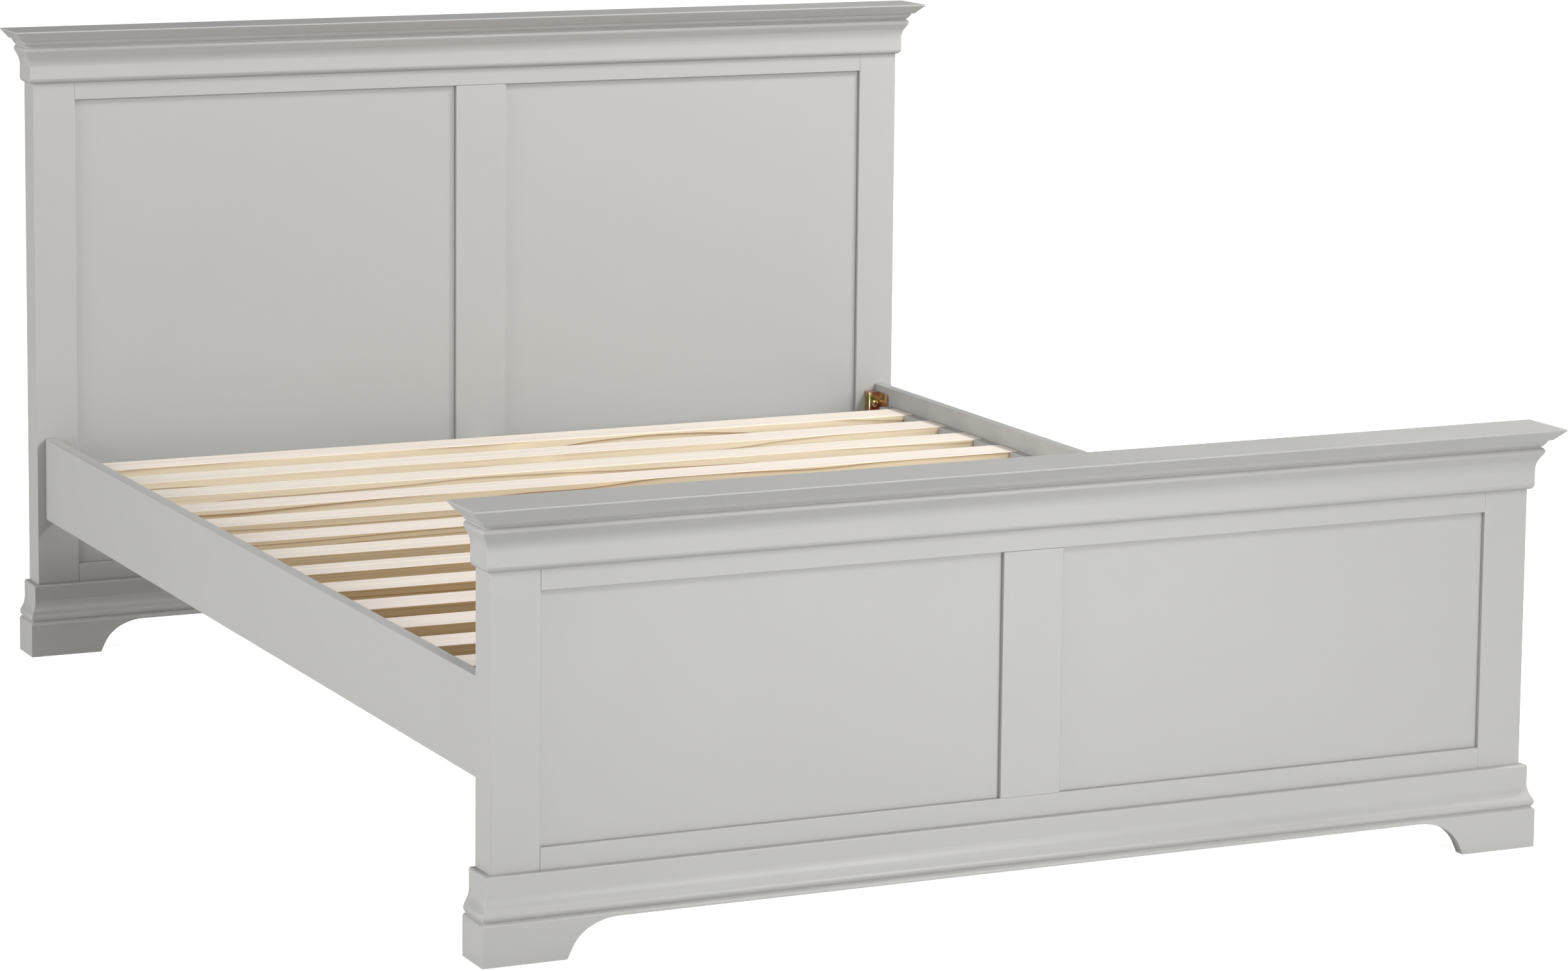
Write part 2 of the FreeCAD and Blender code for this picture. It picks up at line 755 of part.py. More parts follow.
for side, word in ((-1, "left"), (1, "right")):
    rail = new_body(word + "_side_rail")
    pad(rail, "XZ", [eased_outline(
        "side_rail_inner", "side_rail_outer", "side_rail_foot", "side_rail_top",
        "side_rail_round")], "foot_inside", "head_inside", side)
    spots = []
    for reach, up in LEAF_SCREWS:
        for end in ("head_inside - bracket_box_depth - ", "foot_inside + bracket_box_depth + "):
            spots.append((end + reach, up, "screw_radius + fit_play"))
    low, high = along_x("side_rail_inner", "side_rail_inner + screw_hole_depth", side)
    cut(rail, "YZ", [], low, high, 1, spots)

    ledger = new_body(word + "_ledger")
    comb = [
        ("foot_inside + ledger_end_gap", "ledger_top"),
        ("foot_inside + ledger_end_gap", "ledger_foot"),
        ("head_inside - ledger_end_gap", "ledger_foot"),
        ("head_inside - ledger_end_gap", "ledger_top"),
    ]
    for number in reversed(range(SLATS)):
        near = "first_slat + " + str(number) + "*slat_pitch"
        comb.append((near + " + slat_width + slat_side_play", "ledger_top"))
        comb.append((near + " + slat_width + slat_side_play", "slat_seat"))
        comb.append((near + " - slat_side_play", "slat_seat"))
        comb.append((near + " - slat_side_play", "ledger_top"))
    low, high = along_x("ledger_inner", "side_rail_inner", side)
    pad(ledger, "YZ", [comb], low, high)

# Slats: the thick middle fits between the ledgers, a tongue rests in each notch
for number in range(SLATS):
    slat = new_body("slat_" + format(number + 1, "02"))
    pad(slat, "XZ", [[
        ("- slat_shoulder", "slat_foot"),
        ("slat_shoulder", "slat_foot"),
        ("slat_shoulder", "slat_seat"),
        ("slat_end", "slat_seat"),
        ("slat_end", "slat_top"),
        ("- slat_end", "slat_top"),
        ("- slat_end", "slat_seat"),
        ("- slat_shoulder", "slat_seat"),
    ]], "0", "slat_width")
    long_edges = (amount("slat_top"), amount("slat_foot"))
    ease_edges(slat, "slat_round", lambda edge: runs_along(edge, 0) and any(
        abs(edge.CenterOfMass.z - height) < edge.Tolerance for height in long_edges))
    follow(slat, "Placement.Base.y", "first_slat + " + str(number) + "*slat_pitch")


# Groups of equal fittings: each is built at the head of the bed, on the right
# where it is at a corner, then mirrored across the bed and along it
GROUPS = {}


def mirrored(label, source, across):
    """A mirror image across the bed, or along it about the middle."""
    image = doc.addObject("Part::Mirroring", label)
    image.Source = source
    image.Normal = FreeCAD.Vector(1, 0, 0) if across else FreeCAD.Vector(0, 1, 0)
    follow(image, "Base.y", "middle")
    return image


def grouped(label, members):
    """Separate solids under one name."""
    group = doc.addObject("Part::Compound", label)
    group.Label = label
    group.Links = members
    return group


def with_image(label, members, across):
    """The members and their mirror image."""
    whole = grouped(label + "_members", members)
    return grouped(label, [whole, mirrored(label + "_image", whole, across)])


def helper(label):
    """A body that is only a step towards a group."""
    return doc.addObject("PartDesign::Body", label)


def set_down(body, place, turn_about, degrees):
    """Turn a fitting from its own +Y axis and move it to its named place."""
    body.Placement.Rotation = FreeCAD.Rotation(turn_about, degrees)
    for axis, names in zip(("x", "y", "z"), place):
        follow(body, "Placement.Base." + axis, names)


UPRIGHT = FreeCAD.Vector(0, 0, 1)
SIDEWAYS = FreeCAD.Vector(1, 0, 0)
RIGHT_ANGLE = 90


def cross_outline(reach, half):
    """A plus sign: the cross recess in the head of a screw."""
    back = other_way(reach)
    thin = other_way(half)
    return [
        (reach, thin), (reach, half), (half, half), (half, reach),
        (thin, reach), (thin, half), (back, half), (back, thin),
        (thin, thin), (thin, back), (half, back), (half, thin),
    ]


def screw_outline(play):
    """Half of a countersunk screw, or of the seat that clears it."""
    return [
        ("0", "0"),
        ("screw_head_radius" + play, "0"),
        ("screw_head_radius" + play, "screw_rim"),
        ("screw_radius" + play, "screw_shank_start"),
        ("screw_radius" + play, "screw_length"),
        ("0", "screw_length"),
    ]


def make_screws(label, places, degrees):
    """Screws with a cross recess, and the seats that they need in a sheet."""
    screws = []
    seats = []
    for number, place in enumerate(places):
        screw = helper(label + "_screw_" + str(number))
        turn_round(screw, screw_outline(""))
        cut(screw, "XZ", [cross_outline("half_screw_slot_length", "half_screw_slot")],
            "- overrun", "screw_slot_depth")
        seat = helper(label + "_seat_" + str(number))
        turn_round(seat, screw_outline(" + fit_play"))
        for body in (screw, seat):
            set_down(body, place, UPRIGHT, degrees)
        screws.append(screw)
        seats.append(seat)
    return screws, grouped(label + "_seats", seats)


def seated(label, body, seats):
    """A fitting with its screw seats cut out."""
    fitting = doc.addObject("Part::Cut", label)
    fitting.Base = body
    fitting.Tool = seats
    return fitting


# The corner bracket: a leaf on the rail and a box folded against the post
bracket = helper("bracket_sheet_metal")
box_side = "side_rail_inner - bracket_box_width"
box_front = "head_inside - bracket_box_depth"
pad(bracket, "XY", [[
    ("side_rail_inner", box_front + " - bracket_leaf"),
    ("side_rail_inner", box_front + " + bracket_sheet"),
    (box_side + " + bracket_sheet", box_front + " + bracket_sheet"),
    (box_side + " + bracket_sheet", "head_inside"),
    (box_side, "head_inside"),
    (box_side, box_front + " + bracket_bend", "bracket_bend", 1),
    (box_side + " + bracket_bend", box_front),
    ("side_rail_inner - bracket_sheet", box_front),
    ("side_rail_inner - bracket_sheet", box_front + " - bracket_leaf"),
]], "bracket_foot", "bracket_top")
flap = [
    (box_side, "head_inside"),
    (box_side, box_front + " + bracket_bend", "bracket_bend", 1),
    (box_side + " + bracket_bend", box_front),
    ("side_rail_inner - bracket_sheet - bracket_flap_gap", box_front),
    ("side_rail_inner - bracket_sheet - bracket_flap_gap", "head_inside"),
]
pad(bracket, "XY", [flap], "bracket_top - bracket_sheet", "bracket_top")
pad(bracket, "XY", [flap], "bracket_foot", "bracket_foot + bracket_sheet")
cut(bracket, "XY", [], "bracket_foot - overrun", "bracket_top + overrun", 1, [
    (box_side + " + bracket_bend + bracket_sheet",
     box_front + " + bracket_bend + bracket_sheet", "bracket_flap_hole")])
cut(bracket, "XZ", [], box_front + " - overrun", box_front + " + overrun", 1, [
    ("bolt_across", up, "bolt_radius + bolt_hole_play") for up in ("bolt_upper", "bolt_lower")])
leaf_end = amount(box_front + " - bracket_leaf")
ease_edges(bracket, "bracket_leaf_round", lambda edge: runs_along(edge, 0) and (
    abs(edge.CenterOfMass.y - leaf_end) < edge.Tolerance))
leaf_places = [("side_rail_inner - bracket_sheet", box_front + " - " + reach, up)
               for reach, up in LEAF_SCREWS]
leaf_screws, leaf_seats = make_screws("leaf", leaf_places, -RIGHT_ANGLE)
one_bracket = seated("bracket_one", bracket, leaf_seats)
GROUPS["corner_brackets"] = with_image(
    "corner_brackets", [with_image("bracket_pair", [one_bracket], True)], False)

# The hanger: a plate on the mullion with a pocket for the centre rail's end
hanger = helper("hanger_sheet_metal")
pad(hanger, "XZ", [[
    ("- hanger_outer", "hanger_foot"),
    ("hanger_outer", "hanger_foot"),
    ("hanger_outer", "hanger_foot + hanger_cheek_height"),
    ("hanger_inner", "hanger_foot + hanger_cheek_height"),
    ("hanger_inner", "centre_rail_foot"),
    ("- hanger_inner", "centre_rail_foot"),
    ("- hanger_inner", "hanger_foot + hanger_cheek_height"),
    ("- hanger_outer", "hanger_foot + hanger_cheek_height"),
]], "head_inside - hanger_pocket_length", "head_inside")
pad(hanger, "XZ", [box_outline(
    "- half_hanger", "half_hanger", "hanger_foot", "hanger_foot + hanger_height")],
    "head_inside - bracket_sheet", "head_inside")
hanger_places = []
for across in ("hanger_screw_across", "- hanger_screw_across"):
    for up in ("hanger_screw_lower", "hanger_screw_upper"):
        hanger_places.append((across, "head_inside - bracket_sheet", up))
hanger_screws, hanger_seats = make_screws("hanger", hanger_places, 0)
one_hanger = seated("hanger_one", hanger, hanger_seats)
GROUPS["centre_rail_hangers"] = with_image("centre_rail_hangers", [one_hanger], False)
GROUPS["wood_screws"] = with_image(
    "wood_screws", [with_image("leaf_screw_pair", leaf_screws, True)] + hanger_screws, False)

# The bolts through the brackets, and the inserts that they thread into
bolts = []
inserts = []
for up in ("bolt_upper", "bolt_lower"):
    bolt = helper("one_" + up)
    turn_round(bolt, [
        ("0", "- bolt_head_height", "bolt_dome_radius", 1),
        ("bolt_head_radius", "- bolt_head_rim"),
        ("bolt_head_radius", "0"),
        ("bolt_radius", "0"),
        ("bolt_radius", "bolt_length"),
        ("0", "bolt_length"),
    ])
    cut(bolt, "XZ", [cross_outline("half_bolt_cross", "half_bolt_slot")],
        "- bolt_head_height - overrun", "- bolt_head_height + bolt_cross_depth")
    set_down(bolt, ("bolt_across", box_front, up), UPRIGHT, 0)
    bolts.append(bolt)


def make_insert(label, place, turn_about, degrees):
    """A threaded insert: a sleeve sunk flush with the wood."""
    insert = helper(label)
    turn_round(insert, [
        ("bolt_radius + fit_play", "0"),
        ("insert_radius", "0"),
        ("insert_radius", "insert_length"),
        ("bolt_radius + fit_play", "insert_length"),
    ])
    set_down(insert, place, turn_about, degrees)
    return insert


for up in ("bolt_upper", "bolt_lower"):
    inserts.append(make_insert("insert_" + up, ("bolt_across", "head_inside", up), UPRIGHT, 0))
leg_insert = make_insert("insert_leg", ("0", "middle", "leg_foot"), SIDEWAYS, RIGHT_ANGLE)
GROUPS["bracket_bolts"] = with_image(
    "bracket_bolts", [with_image("bolt_pair", bolts, True)], False)
corner_inserts = with_image("corner_inserts", [with_image("insert_pair", inserts, True)], False)
GROUPS["threaded_inserts"] = grouped("threaded_inserts", [corner_inserts, leg_insert])

# The centre rail lies in the two hangers and stands on one leg
rail = new_body("centre_rail")
pad(rail, "XZ", [eased_outline(
    "- half_centre_rail", "half_centre_rail", "centre_rail_foot", "slat_foot",
    "centre_rail_round")],
    "foot_inside + bracket_sheet + centre_rail_end_play",
    "head_inside - bracket_sheet - centre_rail_end_play")
cut(rail, "XY", [box_outline(
    "- half_tenon - fit_play", "half_tenon + fit_play",
    "middle - half_tenon - fit_play", "middle + half_tenon + fit_play")],
    "centre_rail_foot - overrun", "centre_rail_foot + leg_tenon_height + fit_play")

leg = new_body("centre_leg")
pad(leg, "XY", [eased_outline(
    "- half_leg", "half_leg", "middle - half_leg", "middle + half_leg", "leg_round")],
    "leg_foot", "centre_rail_foot")
pad(leg, "XY", [box_outline(
    "- half_tenon", "half_tenon", "middle - half_tenon", "middle + half_tenon")],
    "centre_rail_foot", "centre_rail_foot + leg_tenon_height")
for high, radius in (("leg_foot + insert_length", "insert_radius + fit_play"),
                     ("glide_stud_top + glide_stud_gap", "bolt_radius + bolt_hole_play")):
    cut(leg, "XY", [], "leg_foot - overrun", high, 1, [("0", "middle", radius)])

glide = new_body("leg_glide")
turn_round(glide, [
    ("0", "0"),
    ("glide_radius - glide_round", "0", "glide_round", 1),
    ("glide_radius", "glide_round"),
    ("glide_radius", "glide_height - glide_round", "glide_round", 1),
    ("glide_radius - glide_round", "glide_height"),
    ("bolt_radius", "glide_height"),
    ("bolt_radius", "glide_stud_top"),
    ("0", "glide_stud_top"),
])
set_down(glide, ("0", "middle", "0"), SIDEWAYS, RIGHT_ANGLE)

doc.recompute()
for thing in doc.Objects:
    if "Invalid" in thing.State or "Error" in thing.State:
        raise RuntimeError(thing.Name + " could not be built")
pieces = dict(BODIES)
pieces.update(GROUPS)
os.makedirs("parts", exist_ok=True)
for label, piece in sorted(pieces.items()):
    if piece.Shape.isNull() or not piece.Shape.isValid():
        raise RuntimeError(label + " has no valid shape")
    piece.Shape.exportStep("parts/" + label + ".step")
print(len(pieces), "pieces written")
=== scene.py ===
# %% [markdown]
# # A painted wooden bed frame
# The bed stands as a tall panelled headboard, a lower footboard in the same
# pattern, two side rails and fourteen loose pine slats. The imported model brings
# every wooden and metal piece in its true place and size, in metres, so this
# lesson is about looks: a camera, a studio, and finishes made of nodes.

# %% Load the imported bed
import math

import bpy
from mathutils import Matrix, Vector

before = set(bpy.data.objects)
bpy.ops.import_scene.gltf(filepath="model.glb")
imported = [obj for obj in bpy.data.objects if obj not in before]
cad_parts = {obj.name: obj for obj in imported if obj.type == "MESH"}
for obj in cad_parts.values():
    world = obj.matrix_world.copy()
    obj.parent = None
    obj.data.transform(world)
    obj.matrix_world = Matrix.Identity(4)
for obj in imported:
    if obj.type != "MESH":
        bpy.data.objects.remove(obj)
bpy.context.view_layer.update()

# %% [markdown]
# ## Camera
# A product photograph like this one is taken with a long lens from some metres
# away, so the far end of the bed is hardly smaller than the near end. The place
# below was solved from straight edges of the bed. The lens is shifted down, as a
# studio camera's is, to keep the posts nearly upright in the picture.

# %% Camera at the photograph's angle
PICTURE_WIDTH, PICTURE_HEIGHT = 2442, 1512
CAMERA_PLACE = Vector((-3.1757, -6.9277, 1.8205))
AZIMUTH, ELEVATION, ROLL = (math.radians(angle) for angle in (-24.698, 7.795, 0.496))
FOCAL_PIXELS = 7641.6
OPTICAL_CENTRE = (1135.8, 399.5)


def camera_axes(azimuth, elevation, roll):
    """Right, up and back directions of a camera that looks at the bed."""
    back = Vector((math.sin(azimuth) * math.cos(elevation),
                   -math.cos(azimuth) * math.cos(elevation),
                   math.sin(elevation)))
    level_right = (-back).cross(Vector((0, 0, 1))).normalized()
    level_up = back.cross(level_right)
    right = level_right * math.cos(roll) + level_up * math.sin(roll)
    up = level_up * math.cos(roll) - level_right * math.sin(roll)
    return right, up, back


lens = bpy.data.cameras.new("studio_camera")
lens.sensor_width = 36
lens.lens = FOCAL_PIXELS * lens.sensor_width / PICTURE_WIDTH
lens.shift_x = (PICTURE_WIDTH / 2 - OPTICAL_CENTRE[0]) / PICTURE_WIDTH
lens.shift_y = (OPTICAL_CENTRE[1] - PICTURE_HEIGHT / 2) / PICTURE_WIDTH
lens.clip_end = 200
camera = bpy.data.objects.new("studio_camera", lens)
bpy.context.scene.collection.objects.link(camera)
turn = Matrix(camera_axes(AZIMUTH, ELEVATION, ROLL)).transposed()
camera.matrix_world = Matrix.Translation(CAMERA_PLACE) @ turn.to_4x4()
bpy.context.scene.camera = camera
print("camera lens", round(lens.lens, 2), "mm")

# %% [markdown]
# ## Node helpers
# A finish is a small graph of nodes. A few helpers keep each graph short to
# read. The first ones add a node and fill its sockets, open a group that several
# finishes can share, and place such a group in a graph.

# %% Helpers that add nodes and groups


def fill(tree, node, sockets):
    """Link or set each named input of a node."""
    for name, value in sockets.items():
        if isinstance(value, bpy.types.NodeSocket):
            tree.links.new(value, node.inputs[name])
        else:
            node.inputs[name].default_value = value
    return node


def add_node(tree, kind, sockets=None, **settings):
    """Add a node, set its settings, and fill its input sockets."""
    node = tree.nodes.new("ShaderNode" + kind)
    for name, value in settings.items():
        setattr(node, name, value)
    return fill(tree, node, sockets or {})


def new_group(name, inputs, outputs):
    """Open a node group; inputs are (name, kind, start value), outputs (name, kind)."""
    group = bpy.data.node_groups.new(name, "ShaderNodeTree")
    add_socket = group.interface.new_socket
    for label, kind, start in inputs:
        socket = add_socket(label, in_out="INPUT", socket_type="NodeSocket" + kind)
        if start is not None:
            socket.default_value = start
    for label, kind in outputs:
        add_socket(label, in_out="OUTPUT", socket_type="NodeSocket" + kind)
    given = group.nodes.new("NodeGroupInput").outputs
    made = group.nodes.new("NodeGroupOutput").inputs
    return group, given, made


def use_group(tree, group, **values):
    """Place a group in a graph and fill its named inputs."""
    node = tree.nodes.new("ShaderNodeGroup")
    node.node_tree = group
    return fill(tree, node, {name.replace("_", " "): value for name, value in values.items()})


# %% [markdown]
# The next ones each stand for one step on the way to a colour or a number, so
# that a graph reads from top to bottom like a short piece of arithmetic.

# %% Helpers that work out a value


def ramp(tree, factor, stops):
    """A colour ramp over (position, colour) stops."""
    node = add_node(tree, "ValToRGB", {"Fac": factor})
    points = node.color_ramp.elements
    while len(points) < len(stops):
        points.new(0.5)
    for point, (position, colour) in zip(points, stops):
        point.position = position
        point.color = (*colour, 1)
    return node.outputs["Color"]


def map_range(tree, value, low, high, to_low, to_high):
    """Carry a value from one span to another, and stop at its ends."""
    node = add_node(tree, "MapRange", {"Value": value, "From Min": low, "From Max": high,
                                       "To Min": to_low, "To Max": to_high})
    return node.outputs["Result"]


def compute(tree, operation, *numbers):
    """A sum worked out on numbers or sockets."""
    return add_node(tree, "Math", dict(enumerate(numbers)), operation=operation).outputs["Value"]


def times(tree, one, other):
    """The product of two numbers or sockets."""
    return compute(tree, "MULTIPLY", one, other)


def plus(tree, one, other):
    """The sum of two numbers or sockets."""
    return compute(tree, "ADD", one, other)


def noise(tree, place, scale, detail):
    """Soft noise over a place; most of it lies between 0.3 and 0.7."""
    sockets = {"Vector": place, "Scale": scale, "Detail": detail}
    return add_node(tree, "TexNoise", sockets).outputs["Fac"]


def blend(tree, factor, one, other):
    """One colour that gives way to another as the factor rises to 1."""
    return add_node(tree, "Mix", {"Factor": factor, "A": one, "B": other},
                    data_type="RGBA").outputs["Result"]


# %% [markdown]
# The last two belong to a material: one opens it with a shader in place, and the
# other leads a colour, a roughness and a height into that shader. The height
# becomes a bump, which tilts the light on a surface and leaves its shape alone.

# %% Helpers that open and join a material


def new_finish(name):
    """An empty material with a shader joined to its output."""
    material = bpy.data.materials.new(name)
    material.use_nodes = True
    tree = material.node_tree
    tree.nodes.clear()
    shader = tree.nodes.new("ShaderNodeBsdfPrincipled")
    output = tree.nodes.new("ShaderNodeOutputMaterial")
    tree.links.new(shader.outputs["BSDF"], output.inputs["Surface"])
    place = tree.nodes.new("ShaderNodeTexCoord").outputs["Object"]
    return material, tree, shader, place


def lead_in(tree, shader, colour, roughness, height, strength, depth):
    """Lead colour, roughness and a bump of the height into the shader."""
    bump = add_node(tree, "Bump", {"Strength": strength, "Distance": depth, "Height": height})
    fill(tree, shader, {"Base Color": colour, "Roughness": roughness,
                        "Normal": bump.outputs["Normal"]})


# %% [markdown]
# ## Shared effects
# Handling polishes and lightens the edges of every piece, and the line where two pieces meet,
# with every other corner and recess, is painted a little darker: painted shade, where shade
# falls. The first could be found from the mesh's sharp edges, but a rounded normal works on any
# mesh: it differs from the true one only near an edge. The second is how little open space a
# point sees close by.

# %% Worn edges and painted corner shade
worn_edges, given, made = new_group(
    "worn_edges",
    [("Reach", "Float", 0.002), ("Patchiness", "Float", 0.5), ("Place", "Vector", None)],
    [("Mask", "Float")])
rounded = add_node(worn_edges, "Bevel", {"Radius": given["Reach"]}, samples=4)
flat = add_node(worn_edges, "NewGeometry")
alike = add_node(worn_edges, "VectorMath",
                 {0: rounded.outputs["Normal"], 1: flat.outputs["Normal"]},
                 operation="DOT_PRODUCT")
edge = map_range(worn_edges, alike.outputs["Value"], 0.97, 0.72, 0.0, 1.0)
patches = noise(worn_edges, given["Place"], 9.0, 4.0)
kept = map_range(worn_edges, patches, 0.35, 0.65, 0.0, 1.0)
uneven = add_node(worn_edges, "Mix", {"Factor": given["Patchiness"], "A": 1.0, "B": kept})
worn_edges.links.new(times(worn_edges, edge, uneven.outputs["Result"]), made["Mask"])

corner_shade, given, made = new_group(
    "corner_shade", [("Reach", "Float", 0.004)], [("Mask", "Float")])
# Painted shade: the less open space a point sees within reach, the larger this mask.
open_space = add_node(corner_shade, "AmbientOcclusion", {"Distance": given["Reach"]}, samples=6)
closed = map_range(corner_shade, open_space.outputs["AO"], 0.75, 0.25, 0.0, 1.0)
corner_shade.links.new(closed, made["Mask"])
print("groups", worn_edges.name, corner_shade.name)

# %% [markdown]
# ## Satin paint
# The wood is sprayed with several coats of a warm light grey. Sprayed paint is
# never quite flat: it dries to a fine orange peel, it follows the grain below it
# a little, and its sheen drifts from place to place. One group makes the film
# from its colour, and each board tells it which way its grain runs.

# %% The paint film
paint_film, given, made = new_group(
    "paint_film",
    [("Place", "Vector", None), ("Colour", "Color", None), ("Shade Drift", "Float", 0.05),
     ("Peel", "Float", 0.5), ("Grain Show", "Float", 0.3), ("Stretch", "Vector", None),
     ("Sheen", "Float", 0.4)],
    [("Colour", "Color"), ("Roughness", "Float"), ("Height", "Float")])
drift = noise(paint_film, given["Place"], 2.2, 3.0)
lighter = map_range(paint_film, drift, 0.3, 0.7, -1.0, 1.0)
level = plus(paint_film, times(paint_film, lighter, given["Shade Drift"]), 1.0)
tinted = add_node(paint_film, "VectorMath", {0: given["Colour"], "Scale": level},
                  operation="SCALE")
paint_film.links.new(tinted.outputs["Vector"], made["Colour"])

drawn_out = add_node(paint_film, "VectorMath", {0: given["Place"], 1: given["Stretch"]},
                     operation="MULTIPLY")
fibres = add_node(paint_film, "TexNoise", {"Vector": drawn_out.outputs["Vector"], "Scale": 1.0,
                                           "Detail": 5.0, "Roughness": 0.6})
peel = times(paint_film, noise(paint_film, given["Place"], 420.0, 2.0), given["Peel"])
film = compute(paint_film, "MULTIPLY_ADD", fibres.outputs["Fac"], given["Grain Show"], peel)
paint_film.links.new(film, made["Height"])

sheen_drift = noise(paint_film, given["Place"], 6.0, 4.0)
sheen = map_range(paint_film, sheen_drift, 0.3, 0.7, -0.05, 0.05)
paint_film.links.new(plus(paint_film, sheen, given["Sheen"]), made["Roughness"])
print("group", paint_film.name)

# %% [markdown]
# Boards that stand and boards that lie differ only in the direction of their grain, so one
# function makes a paint for each direction. Where two flat boards meet, and in other corners and
# recesses, the colour is darkened as painted shade; in the quirks of a moulding the same mask
# makes the colour lighter than on the open face, a painted light that lifts the shade there.

# %% Paint for each direction of grain
WARM_GREY = (0.363, 0.360, 0.350, 1)
WORN_GREY = (0.46, 0.455, 0.445, 1)
# The next two greys are painted where little open space is seen: the dark one as painted shade,
# the light one as painted light in moulding quirks.
JOINT_SHADE_GREY = (0.17, 0.165, 0.155, 1)
QUIRK_LIGHT_GREY = (0.64, 0.635, 0.62, 1)
PAINT_IOR = 1.48


def satin_paint(name, stretch, painted_corner_colour=JOINT_SHADE_GREY):
    """Grey satin paint over wood; stretch is small along the grain."""
    material, tree, shader, place = new_finish(name)
    film = use_group(tree, paint_film, Place=place, Colour=WARM_GREY, Shade_Drift=0.012,
                     Peel=0.35, Grain_Show=0.5, Stretch=stretch, Sheen=0.42).outputs
    edges = use_group(tree, worn_edges, Reach=0.0016, Patchiness=0.7, Place=place)
    shade_in_corners = use_group(tree, corner_shade, Reach=0.003)
    worn = blend(tree, times(tree, edges.outputs["Mask"], 0.5), film["Colour"], WORN_GREY)
    # Painted corner shade: the corner mask carries the colour toward the corner colour.
    joined = blend(tree, shade_in_corners.outputs["Mask"], worn, painted_corner_colour)
    lead_in(tree, shader, joined, film["Roughness"], film["Height"], strength=0.25, depth=0.0003)
    shader.inputs["IOR"].default_value = PAINT_IOR
    return material


# Noise cells to a metre, along the fibres and across them.
ALONG, ACROSS = 6.0, 260.0
upright_paint = satin_paint("upright_paint", (ACROSS, ACROSS, ALONG))
level_paint = satin_paint("level_paint", (ALONG, ACROSS, ACROSS))
rail_paint = satin_paint("rail_paint", (ACROSS, ALONG, ACROSS))
# Mouldings take the light corner colour: painted light in their quirks.
moulding_paint = satin_paint("moulding_paint", (ALONG, ACROSS, ACROSS), QUIRK_LIGHT_GREY)
return_paint = satin_paint("return_paint", (ACROSS, ALONG, ACROSS), QUIRK_LIGHT_GREY)
paints = (upright_paint, level_paint, rail_paint, moulding_paint, return_paint)
print("paints", [paint.name for paint in paints])

# %% [markdown]
# ## Clear pine
# Slats are sawn from fast-grown pine. A board is a slice through a stack of
# cones, the yearly rings, so its pattern could be drawn on each face, but a
# solid texture is more honest: the distance from a wandering pith line gives
# rings that run straight along the top, arch on the side and curve on the end.
# Every slat gets its own pith from its place along the bed. All of its noise is
# asked for along, across and deep in the board, with a seed of the board's own.

# %% Noise that follows a board


def spot_in_board(tree, along, across, deep):
    """A place counted in the board's own directions."""
    return add_node(tree, "CombineXYZ", {"X": along, "Y": across, "Z": deep}).outputs["Vector"]


def noise_in_board(tree, along, across, deep, seed, detail=2.0):
    """Noise in the board's own directions, different for each board."""
    return add_node(tree, "TexNoise", {
        "Vector": spot_in_board(tree, along, across, deep), "W": seed, "Scale": 1.0,
        "Detail": detail}, noise_dimensions="4D").outputs["Fac"]


# %% [markdown]
# The grain is one group. First it finds the pith of each board's trunk, one place
# for the whole board that wanders a little along it. The distance from there,
# swayed by a soft wave, says how far out in the trunk a point lies. The odd
# factors on the seed only keep one noise from repeating another.

# %% The pith and the distance from it
pine_grain, given, made = new_group(
    "pine_grain",
    [("Along", "Float", None), ("Across", "Float", None), ("Deep", "Float", None),
     ("Board", "Float", 0.0), ("Ring Width", "Float", 0.006), ("Waviness", "Float", 1.0)],
    [("Late Wood", "Float"), ("Fibre", "Float"), ("Streak", "Float"), ("Tint", "Float"),
     ("Knot", "Float")])
along, across, deep = given["Along"], given["Across"], given["Deep"]
seed = times(pine_grain, given["Board"], 7.31)

slow = times(pine_grain, along, 0.8)
drift_across = noise_in_board(pine_grain, slow, 0.0, 0.0, seed)
drift_deep = noise_in_board(pine_grain, slow, 5.0, 0.0, seed)
board_across = noise_in_board(pine_grain, 0.0, 9.0, 0.0, times(pine_grain, seed, 3.7), 0.0)
board_deep = noise_in_board(pine_grain, 0.0, 0.0, 9.0, times(pine_grain, seed, 2.9), 0.0)
pith_across = plus(pine_grain, map_range(pine_grain, drift_across, 0.3, 0.7, -0.005, 0.005),
                   map_range(pine_grain, board_across, 0.35, 0.65, -0.17, 0.17))
pith_deep = plus(pine_grain, map_range(pine_grain, drift_deep, 0.3, 0.7, -0.004, 0.004),
                 map_range(pine_grain, board_deep, 0.3, 0.7, -0.26, -0.14))
away = spot_in_board(pine_grain, 0.0, plus(pine_grain, across, pith_across),
                     plus(pine_grain, deep, pith_deep))
radius = add_node(pine_grain, "VectorMath", {0: away}, operation="LENGTH").outputs["Value"]
wave = noise_in_board(pine_grain, times(pine_grain, along, 2.2), times(pine_grain, across, 22.0),
                      times(pine_grain, deep, 22.0), seed)
sway = times(pine_grain, map_range(pine_grain, wave, 0.3, 0.7, -0.004, 0.004), given["Waviness"])
print("group", pine_grain.name, "started with", len(pine_grain.nodes), "nodes")

# %% [markdown]
# Knots come from a pattern of cells, of which only a rare one is chosen, and the
# rings bend outward beside it. In each ring the late wood rises slowly toward the
# end of the summer and drops at once at the winter line. Some years come out
# stronger than others, so the rings of a real board are never all alike.

# %% Knots and yearly rings
RARE_CELL = (0.86, 0.861)
KNOT_BEND, KNOT_RIM = (0.30, 0.05), (0.085, 0.055)
KNOT_PUSH = 0.005
LATE_RISE, WINTER_DROP = (0.55, 0.92), (0.93, 0.98)
WEAKEST_YEAR = 0.30

